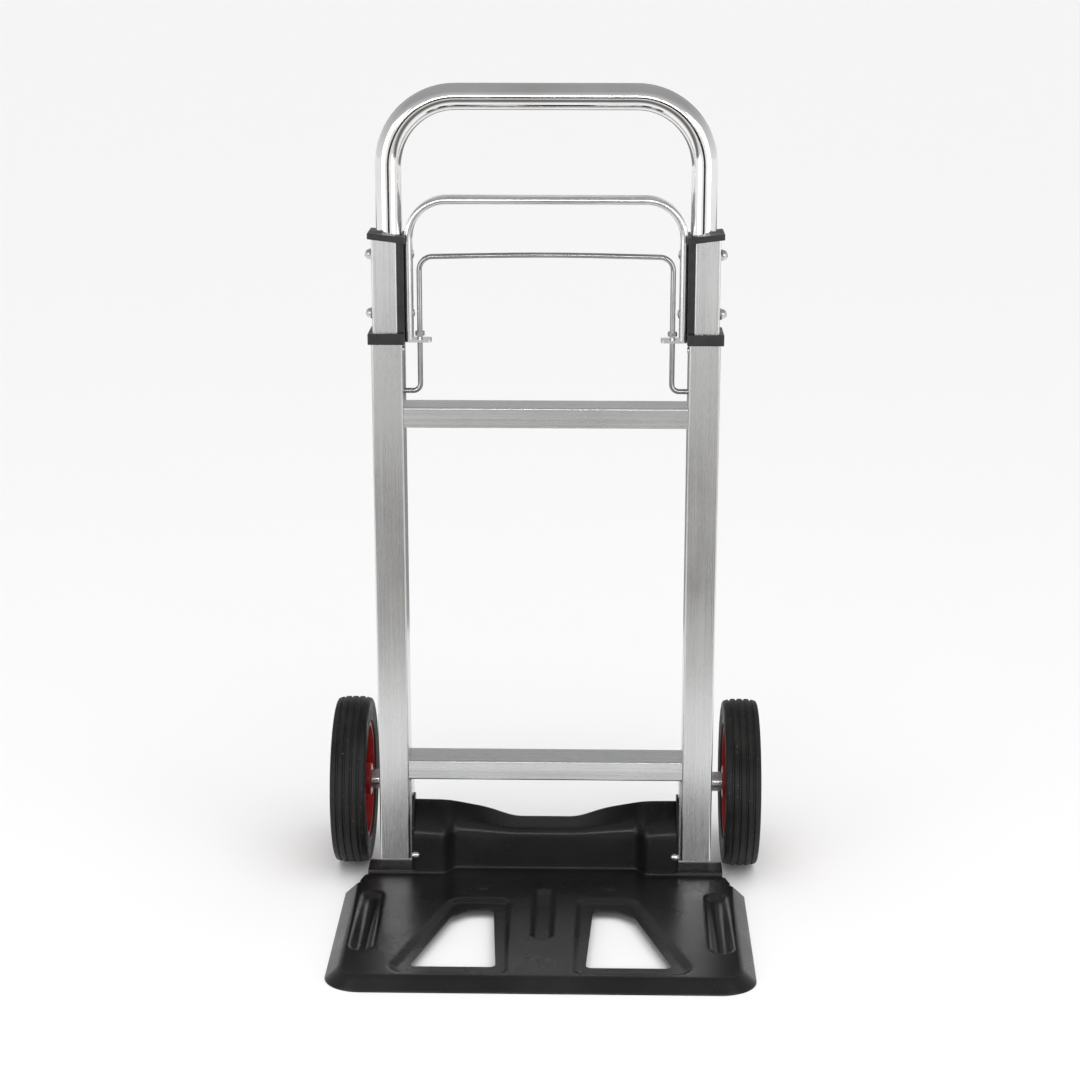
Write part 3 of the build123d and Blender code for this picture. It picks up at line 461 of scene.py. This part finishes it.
def build_toe_rivets():
    """Domed rivet heads at the lower outer corners of the rear wall."""
    rings = 8
    turns = 32
    vertices = []
    faces = []
    for sign in SIGNS:
        first = len(vertices)
        for ring in range(rings):
            angle = math.pi / 2 * ring / rings
            radius = RIVET_RADIUS * math.cos(angle)
            y = RIVET_SEAT_Y - RIVET_RISE * math.sin(angle)
            for turn in range(turns):
                swing = 2 * math.pi * turn / turns
                vertices.append((sign * RIVET_X + radius * math.cos(swing), y,
                                 RIVET_Z + radius * math.sin(swing)))
        vertices.append((sign * RIVET_X, RIVET_SEAT_Y - RIVET_RISE, RIVET_Z))
        rim = [(x, RIVET_BACK_Y, z) for x, y, z in vertices[first:first + turns]]
        rim_first = len(vertices)
        vertices += rim
        for turn in range(turns):
            after = (turn + 1) % turns
            faces.append((rim_first + turn, rim_first + after, first + after, first + turn))
            for ring in range(rings - 1):
                near = first + ring * turns
                faces.append((near + turn, near + after, near + turns + after, near + turns + turn))
            last = first + (rings - 1) * turns
            faces.append((last + turn, last + after, rim_first - 1))
        faces.append(tuple(range(rim_first + turns - 1, rim_first - 1, -1)))
    piece = mesh_object("toe_plate_rivets", vertices, faces)
    turn_faces_outward(piece)
    return piece


# ================================================================ tyres
TYRE_RADIUS = 85.0
GROOVES = (-10.5, -3.6, 3.6, 10.5)
GROOVE_DEPTH = 1.5
GROOVE_REACH = 1.7
GROOVE_LIP = 1.0
CROWN_DROP = 1.4
CROWN_REACH = 14.0
TREAD_END = 14.2
TREAD_STEPS = 95
# (across, radius) points of one sidewall, from the bead out to the shoulder
SIDEWALL = ((15.0, 60.0), (16.4, 60.6), (17.0, 62.0), (17.0, 63.4), (16.6, 64.4), (16.5, 66.5), (16.6, 68.4),
            (17.1, 69.0), (17.1, 70.0), (16.7, 70.6), (16.8, 73.0), (17.0, 75.4), (17.4, 76.0), (17.5, 77.0),
            (17.5, 79.6), (17.2, 81.2), (16.5, 82.6), (15.4, 83.3))


def tread_radius(across):
    """Tyre radius at a place across the tread: a slight crown with four round-lipped grooves."""
    radius = TYRE_RADIUS - CROWN_DROP * (across / CROWN_REACH) ** 4
    for groove in GROOVES:
        share = float(smooth_step((GROOVE_REACH - abs(across - groove)) / GROOVE_LIP))
        radius -= GROOVE_DEPTH * share
    return radius


def tyre_profile():
    """Closed (across, radius) section of the tyre, from one bead over the tread to the other."""
    tread = [(across, tread_radius(across)) for across in np.linspace(TREAD_END, -TREAD_END, TREAD_STEPS)]
    far_wall = [(-across, radius) for across, radius in reversed(SIDEWALL)]
    return [*SIDEWALL, *tread, *far_wall]


def build_ring(name, profile, middle, steps=144):
    """Solid of revolution of a closed (across, radius) section round a line along X."""
    vertices = []
    faces = []
    count = len(profile)
    for step in range(steps):
        angle = 2 * math.pi * step / steps
        for across, radius in profile:
            vertices.append((middle.x / MM + across, middle.y / MM + radius * math.cos(angle),
                             middle.z / MM + radius * math.sin(angle)))
    for step in range(steps):
        here = step * count
        there = (step + 1) % steps * count
        for index in range(count):
            after = (index + 1) % count
            faces.append((here + index, here + after, there + after, there + index))
    piece = mesh_object(name, vertices, faces)
    turn_faces_outward(piece)
    return piece


# ================================================================ material helpers
def new_material(name, color, metallic, roughness):
    """Material with one Principled shader; returns it with its node tree and shader."""
    material = bpy.data.materials.new(name)
    material.use_nodes = True
    tree = material.node_tree
    shader = tree.nodes["Principled BSDF"]
    shader.inputs["Base Color"].default_value = (*color, 1)
    shader.inputs["Metallic"].default_value = metallic
    shader.inputs["Roughness"].default_value = roughness
    return material, tree, shader


def place(tree, scale=(1, 1, 1)):
    """Position in metres, stretched by scale."""
    position = tree.nodes.new("ShaderNodeTexCoord")
    mapping = tree.nodes.new("ShaderNodeMapping")
    mapping.inputs["Scale"].default_value = scale
    tree.links.new(position.outputs["Object"], mapping.inputs["Vector"])
    return mapping.outputs["Vector"]


def noise(tree, scale, stretch=(1, 1, 1), detail=4.0):
    """Noise whose cells are about 1/scale metres across."""
    node = tree.nodes.new("ShaderNodeTexNoise")
    node.inputs["Scale"].default_value = scale
    node.inputs["Detail"].default_value = detail
    tree.links.new(place(tree, stretch), node.inputs["Vector"])
    return node.outputs["Fac"]


def spread(tree, value, low, high, start=0.3, stop=0.7):
    """Maps a value from start..stop to low..high, clamped."""
    node = tree.nodes.new("ShaderNodeMapRange")
    node.inputs["From Min"].default_value = start
    node.inputs["From Max"].default_value = stop
    node.inputs["To Min"].default_value = low
    node.inputs["To Max"].default_value = high
    tree.links.new(value, node.inputs["Value"])
    return node.outputs["Result"]


def two_colors(tree, value, dark, light, start=0.3, stop=0.7):
    """Colour from dark to light as value goes from start to stop."""
    node = tree.nodes.new("ShaderNodeValToRGB")
    node.color_ramp.elements[0].position = start
    node.color_ramp.elements[0].color = (*dark, 1)
    node.color_ramp.elements[1].position = stop
    node.color_ramp.elements[1].color = (*light, 1)
    tree.links.new(value, node.inputs["Fac"])
    return node.outputs["Color"]


def mixed(tree, share, first, second):
    """Blend of two colours by a share output."""
    node = tree.nodes.new("ShaderNodeMix")
    node.data_type = "RGBA"
    tree.links.new(share, node.inputs["Factor"])
    for socket, color in ((node.inputs[6], first), (node.inputs[7], second)):
        if isinstance(color, tuple):
            socket.default_value = (*color, 1)
        else:
            tree.links.new(color, socket)
    return node.outputs[2]


def relief(tree, shader, height, distance, strength=1.0):
    """Adds surface relief of a given depth in metres, on top of any already there."""
    node = tree.nodes.new("ShaderNodeBump")
    node.inputs["Strength"].default_value = strength
    node.inputs["Distance"].default_value = distance
    tree.links.new(height, node.inputs["Height"])
    socket = shader.inputs["Normal"]
    if socket.is_linked:
        tree.links.new(socket.links[0].from_socket, node.inputs["Normal"])
    tree.links.new(node.outputs["Normal"], socket)


# ================================================================ materials
def extruded_aluminium(name, stretch, dark, light, line_depth):
    """Satin extruded aluminium: die lines run where stretch is small."""
    material, tree, shader = new_material(name, light, 1.0, 0.3)
    fine = noise(tree, 1500.0, stretch, 3.0)
    broad = noise(tree, 260.0, stretch, 2.0)
    smudge = noise(tree, 14.0)
    broad_color = two_colors(tree, broad, dark, light, 0.35, 0.62)
    line_color = tuple(channel * 0.85 for channel in dark)
    color = mixed(tree, spread(tree, fine, 0.0, 0.12), broad_color, line_color)
    tree.links.new(color, shader.inputs["Base Color"])
    roughness = tree.nodes.new("ShaderNodeMath")
    roughness.operation = "ADD"
    tree.links.new(spread(tree, fine, 0.2, 0.3), roughness.inputs[0])
    tree.links.new(spread(tree, smudge, 0.0, 0.06), roughness.inputs[1])
    tree.links.new(roughness.outputs[0], shader.inputs["Roughness"])
    relief(tree, shader, broad, line_depth)
    relief(tree, shader, fine, line_depth / 4)
    return material


def polished_aluminium():
    """Rolled and polished aluminium bar, bright with a faint haze."""
    material, tree, shader = new_material("polished_aluminium", (0.84, 0.85, 0.86), 1.0, 0.2)
    tree.links.new(two_colors(tree, noise(tree, 30.0, detail=1.0), (0.78, 0.79, 0.8), (0.86, 0.87, 0.88)),
                   shader.inputs["Base Color"])
    tree.links.new(spread(tree, noise(tree, 24.0, detail=1.0), 0.14, 0.24), shader.inputs["Roughness"])
    relief(tree, shader, noise(tree, 45.0, detail=1.0), 0.00002)
    return material


def chrome_plate():
    """Bright chrome plating with a faint haze and very slight waviness."""
    material, tree, shader = new_material("chrome_plate", (0.86, 0.86, 0.87), 1.0, 0.07)
    haze = noise(tree, 55.0)
    tree.links.new(spread(tree, haze, 0.045, 0.13), shader.inputs["Roughness"])
    tree.links.new(two_colors(tree, noise(tree, 18.0), (0.8, 0.79, 0.78), (0.9, 0.9, 0.91)),
                   shader.inputs["Base Color"])
    relief(tree, shader, noise(tree, 120.0), 0.00002)
    return material


def bright_wire():
    """Plated wire, duller and darker than the chrome tube."""
    material, tree, shader = new_material("bright_wire", (0.46, 0.46, 0.46), 1.0, 0.12)
    tree.links.new(two_colors(tree, noise(tree, 40.0), (0.38, 0.375, 0.37), (0.52, 0.52, 0.52)),
                   shader.inputs["Base Color"])
    tree.links.new(spread(tree, noise(tree, 60.0), 0.07, 0.17), shader.inputs["Roughness"])
    relief(tree, shader, noise(tree, 150.0), 0.00002)
    return material


def moulded_plastic(name, dark, light, roughness, grain):
    """Moulded plastic with a fine spark-eroded grain."""
    material, tree, shader = new_material(name, light, 0.0, roughness)
    tree.links.new(two_colors(tree, noise(tree, 60.0), dark, light), shader.inputs["Base Color"])
    tree.links.new(spread(tree, noise(tree, 35.0), roughness - 0.08, roughness + 0.1),
                   shader.inputs["Roughness"])
    relief(tree, shader, noise(tree, 2600.0, detail=2.0), grain)
    return material


def powder_coat():
    """Satin black powder coat: fine orange peel, dust and a few scuffs."""
    material, tree, shader = new_material("powder_coat_black", (0.012, 0.012, 0.013), 0.0, 0.3)
    dust = noise(tree, 9.0)
    speck = noise(tree, 900.0, detail=1.0)
    base = two_colors(tree, dust, (0.004, 0.004, 0.0045), (0.011, 0.011, 0.012))
    specks = spread(tree, speck, 0.0, 0.5, 0.76, 0.84)
    tree.links.new(mixed(tree, specks, base, (0.12, 0.12, 0.12)), shader.inputs["Base Color"])
    scuffs = noise(tree, 16.0, detail=3.0)
    shader.inputs["Specular IOR Level"].default_value = 0.36
    tree.links.new(spread(tree, scuffs, 0.23, 0.33), shader.inputs["Roughness"])
    relief(tree, shader, noise(tree, 520.0, detail=2.0), 0.00003)
    return material


def zinc_plate():
    """Zinc-plated steel: spangled grey with dull patches."""
    material, tree, shader = new_material("zinc_plate", (0.7, 0.7, 0.71), 1.0, 0.3)
    spangle = tree.nodes.new("ShaderNodeTexVoronoi")
    spangle.inputs["Scale"].default_value = 420.0
    tree.links.new(place(tree), spangle.inputs["Vector"])
    tone = spread(tree, spangle.outputs["Distance"], 0.0, 1.0, 0.1, 0.8)
    tree.links.new(mixed(tree, tone, (0.78, 0.78, 0.8), (0.6, 0.59, 0.57)), shader.inputs["Base Color"])
    tree.links.new(spread(tree, noise(tree, 70.0), 0.18, 0.4), shader.inputs["Roughness"])
    relief(tree, shader, noise(tree, 700.0), 0.00002)
    return material


def spring_wire():
    """Drawn spring steel, darker and slightly oily."""
    material, tree, shader = new_material("spring_wire", (0.42, 0.41, 0.4), 1.0, 0.32)
    tree.links.new(two_colors(tree, noise(tree, 220.0), (0.3, 0.29, 0.28), (0.5, 0.5, 0.5)),
                   shader.inputs["Base Color"])
    tree.links.new(spread(tree, noise(tree, 90.0), 0.22, 0.42), shader.inputs["Roughness"])
    relief(tree, shader, noise(tree, 1800.0), 0.00002)
    return material


def tyre_rubber():
    """Solid black rubber with pale dust in patches and specks."""
    material, tree, shader = new_material("tyre_rubber", (0.02, 0.02, 0.02), 0.0, 0.6)
    patches = noise(tree, 28.0, detail=6.0)
    speck = noise(tree, 620.0, detail=2.0)
    base = two_colors(tree, patches, (0.004, 0.004, 0.004), (0.016, 0.016, 0.015), 0.35, 0.75)
    specks = spread(tree, speck, 0.0, 0.8, 0.68, 0.78)
    tree.links.new(mixed(tree, specks, base, (0.2, 0.19, 0.18)), shader.inputs["Base Color"])
    shader.inputs["Specular IOR Level"].default_value = 0.3
    tree.links.new(spread(tree, patches, 0.42, 0.7), shader.inputs["Roughness"])
    relief(tree, shader, noise(tree, 380.0), 0.00012)
    relief(tree, shader, noise(tree, 1700.0), 0.00004)
    return material


# the die lines run along the part, so the noise is stretched along it
ALONG_X = (0.004, 1, 1)
ALONG_Z = (1, 1, 0.004)
UPRIGHT = extruded_aluminium("extruded_aluminium_upright", ALONG_Z, (0.735, 0.74, 0.74), (0.78, 0.785, 0.785),
                             0.000012)
ACROSS = extruded_aluminium("extruded_aluminium_across", ALONG_X, (0.71, 0.715, 0.715), (0.79, 0.795, 0.795),
                            0.00002)
HOOP = polished_aluminium()
CHROME = chrome_plate()
BRIGHT_WIRE = bright_wire()
BLACK_PLASTIC = moulded_plastic("black_plastic", (0.008, 0.008, 0.008), (0.02, 0.02, 0.021), 0.36, 0.00003)
# the hub red is darkened below the plastic's own red: painted shade that stands in for the shadow the hubs
# sit in; the grain tone varies at random
RED_PLASTIC_WITH_PAINTED_SHADE = moulded_plastic("red_plastic_with_painted_shade", (0.26, 0.010, 0.010), (0.34, 0.018, 0.016), 0.34, 0.00001)
NYLON = moulded_plastic("nylon", (0.04, 0.04, 0.04), (0.08, 0.08, 0.08), 0.42, 0.00001)
POWDER_COAT = powder_coat()
ZINC = zinc_plate()
SPRING_WIRE = spring_wire()
RUBBER = tyre_rubber()

NODE_FINISHES = (
    (UPRIGHT, ("rail_left", "rail_right", "slide_channel_left", "slide_channel_right")),
    (ACROSS, ("upper_crossbar", "lower_crossbar")),
    (HOOP, ("inner_hoop",)),
    (CHROME, ("handle_tube",)),
    (BRIGHT_WIRE, ("release_bail",)),
    (BLACK_PLASTIC, ("rail_collar_left", "rail_collar_right", "channel_cap_left", "channel_cap_right",
                     "handle_block_left", "handle_block_right", "slide_guide_left", "slide_guide_right",
                     "rail_foot_plug_left", "rail_foot_plug_right")),
    (POWDER_COAT, ("toe_plate",)),
    (SPRING_WIRE, ("plunger_spring_left", "plunger_spring_right", "wheel_fold_spring_left",
                   "wheel_fold_spring_right", "bail_clips")),
    (RUBBER, ("tyre_left", "tyre_right")),
    (RED_PLASTIC_WITH_PAINTED_SHADE, ("wheel_hub_left", "wheel_hub_right")),
    (NYLON, ("wheel_bushes_left", "wheel_bushes_right")),
)
finish_of = {node: material for material, names in NODE_FINISHES for node in names}
for node_name, node in nodes.items():
    for material_slot in node.material_slots:
        material_slot.material = finish_of.get(node_name, ZINC)

# ================================================================ pieces
finish_piece(build_toe_plate(), "toe", "black_paint", POWDER_COAT, "toe_plate")
finish_piece(build_toe_ears(), "toe", "black_paint", POWDER_COAT)
finish_piece(build_toe_rivets(), "toe", "zinc_steel", ZINC)
for side in SIDES:
    low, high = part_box("tyre_" + side)
    ring = build_ring("tyre_moulding_" + side, tyre_profile(), (low + high) / 2)
    finish_piece(ring, "wheel_" + side, "tyre_rubber", RUBBER, "tyre_" + side)


# ================================================================ floor, light and camera
FLOOR_WHITE = (0.86, 0.86, 0.86)
CARD_BLACK = (0.03, 0.028, 0.026)
FLAG_BROWN = (0.12, 0.11, 0.10)
REAR_FLAG_GREY = (0.22, 0.22, 0.22)
HORIZON_STRENGTH = 0.78
ZENITH_STRENGTH = 0.36
FILL_STRENGTH = 2.1
FILL_SPREAD_DEGREES = 75
AIM_POINT = (0.0, 0.0, 0.5)
STRIP_POWER = 17.0
SOFTBOX_POWER = 9.0
SOFTBOX_X = 1.7
CAMERA_PLACE = (0.0455, -2.1613, 0.960)
CAMERA_TILT_DEGREES = 74.8
CAMERA_TURN_DEGREES = 1.316
SENSOR_WIDTH = 36.0
LENS_LENGTH = 78.67


def build_flat(name, low_x, high_x, low_y, high_y, height):
    """Level rectangle of the stage."""
    mesh = bpy.data.meshes.new(name)
    mesh.from_pydata([(low_x, low_y, height), (high_x, low_y, height), (high_x, high_y, height),
                      (low_x, high_y, height)], [], [(0, 1, 2, 3)])
    flat = bpy.data.objects.new(name, mesh)
    bpy.context.scene.collection.objects.link(flat)
    return flat


def matt_material(name, color):
    """Dull finish for the stage; returns what new_material does."""
    material, tree, shader = new_material(name, color, 0.0, 1.0)
    shader.inputs["Specular IOR Level"].default_value = 0.0
    return material, tree, shader


def build_floor():
    """Plain pale floor."""
    reach = 60.0
    floor = build_flat("floor", -reach, reach, -reach, reach, 0.0)
    floor.data.materials.append(matt_material("pale_floor", FLOOR_WHITE)[0])


def only_in_reflections(piece):
    """Hides a stage piece from everything but glossy reflections, as a studio flag is used."""
    piece.visible_camera = False
    piece.visible_diffuse = False
    piece.visible_shadow = False
    piece.visible_transmission = False


def build_card(name, half_width, half_height, middle, material):
    """Upright card across the view, seen only in reflections."""
    card = build_flat(name, -half_width, half_width, -half_height, half_height, 0.0)
    card.location = middle
    card.rotation_euler = (math.radians(90), 0.0, 0.0)
    card.data.materials.append(material)
    only_in_reflections(card)


def build_flags():
    """Floor flag and card in front, which give the metal its darker bands."""
    material, tree, shader = matt_material("flag_cloth", FLAG_BROWN)
    position = tree.nodes.new("ShaderNodeTexCoord")
    split = tree.nodes.new("ShaderNodeSeparateXYZ")
    tree.links.new(position.outputs["Object"], split.inputs["Vector"])
    near = spread(tree, split.outputs["Y"], 0.0, 1.0, -0.85, -0.4)
    far = spread(tree, split.outputs["Y"], 0.7, 0.0, -2.6, -1.5)
    share = tree.nodes.new("ShaderNodeMath")
    share.operation = "MAXIMUM"
    tree.links.new(near, share.inputs[0])
    tree.links.new(far, share.inputs[1])
    tree.links.new(mixed(tree, share.outputs[0], FLAG_BROWN, FLOOR_WHITE), shader.inputs["Base Color"])
    flag = build_flat("floor_flag", -2.5, 2.5, -3.4, -0.4, 0.002)
    flag.data.materials.append(material)
    only_in_reflections(flag)
    card_material = matt_material("card_cloth", CARD_BLACK)[0]
    build_card("camera_side_card", 0.5, 0.35, (0.0, -3.3, 0.35), card_material)


def build_rear_flags():
    """Grey flags behind: one on the floor outlines the chrome, one raised keeps the toe plate dark."""
    rear_material = matt_material("rear_flag_cloth", REAR_FLAG_GREY)[0]
    rear_flag = build_flat("rear_floor_flag", -4.0, 4.0, 0.9, 4.5, 0.002)
    rear_flag.data.materials.append(rear_material)
    only_in_reflections(rear_flag)
    build_card("back_card", 2.4, 0.6, (0.0, 3.2, 1.85), rear_material)


def build_world():
    """Pale surroundings, brightest at the horizon."""
    world = bpy.data.worlds.new("studio")
    bpy.context.scene.world = world
    world.use_nodes = True
    tree = world.node_tree
    background = tree.nodes["Background"]
    position = tree.nodes.new("ShaderNodeTexCoord")
    split = tree.nodes.new("ShaderNodeSeparateXYZ")
    tree.links.new(position.outputs["Generated"], split.inputs["Vector"])
    strength = spread(tree, split.outputs["Z"], HORIZON_STRENGTH, ZENITH_STRENGTH, 0.0, 0.7)
    tree.links.new(strength, background.inputs["Strength"])
    background.inputs["Color"].default_value = (1, 1, 1, 1)


def aim(light, location, target):
    """Places a light and points it at a target."""
    light.location = location
    light.rotation_euler = (Vector(target) - Vector(location)).to_track_quat("-Z", "Y").to_euler()
    bpy.context.scene.collection.objects.link(light)


def add_softbox(name, location, target, width, height, power):
    """Rectangular softbox aimed at a point."""
    data = bpy.data.lights.new(name, "AREA")
    data.shape = "RECTANGLE"
    data.size = width
    data.size_y = height
    data.energy = power
    aim(bpy.data.objects.new(name, data), location, target)


def add_overhead_fill(strength):
    """Very soft even light from above, kept out of reflections."""
    data = bpy.data.lights.new("overhead_fill", "SUN")
    data.energy = strength
    data.angle = math.radians(FILL_SPREAD_DEGREES)
    light = bpy.data.objects.new("overhead_fill", data)
    light.visible_glossy = False
    aim(light, (0.5, -1.2, 4.0), (0.0, 0.0, 0.0))


def build_camera():
    """Camera a little above the handle, looking slightly down at the front of the truck."""
    data = bpy.data.cameras.new("camera")
    data.sensor_width = SENSOR_WIDTH
    data.lens = LENS_LENGTH
    camera = bpy.data.objects.new("camera", data)
    camera.location = CAMERA_PLACE
    camera.rotation_euler = (math.radians(CAMERA_TILT_DEGREES), 0.0, math.radians(CAMERA_TURN_DEGREES))
    bpy.context.scene.collection.objects.link(camera)
    bpy.context.scene.camera = camera


build_floor()
build_flags()
build_rear_flags()
build_world()
add_overhead_fill(FILL_STRENGTH)
add_softbox("front_strip", (0.0, -3.1, 1.12), AIM_POINT, 2.6, 0.16, STRIP_POWER)
for side, sign in zip(SIDES, SIGNS):
    add_softbox("softbox_" + side, (sign * SOFTBOX_X, -1.8, 0.9), AIM_POINT, 1.3, 1.6, SOFTBOX_POWER)
build_camera()
bpy.context.scene.view_settings.view_transform = "Standard"
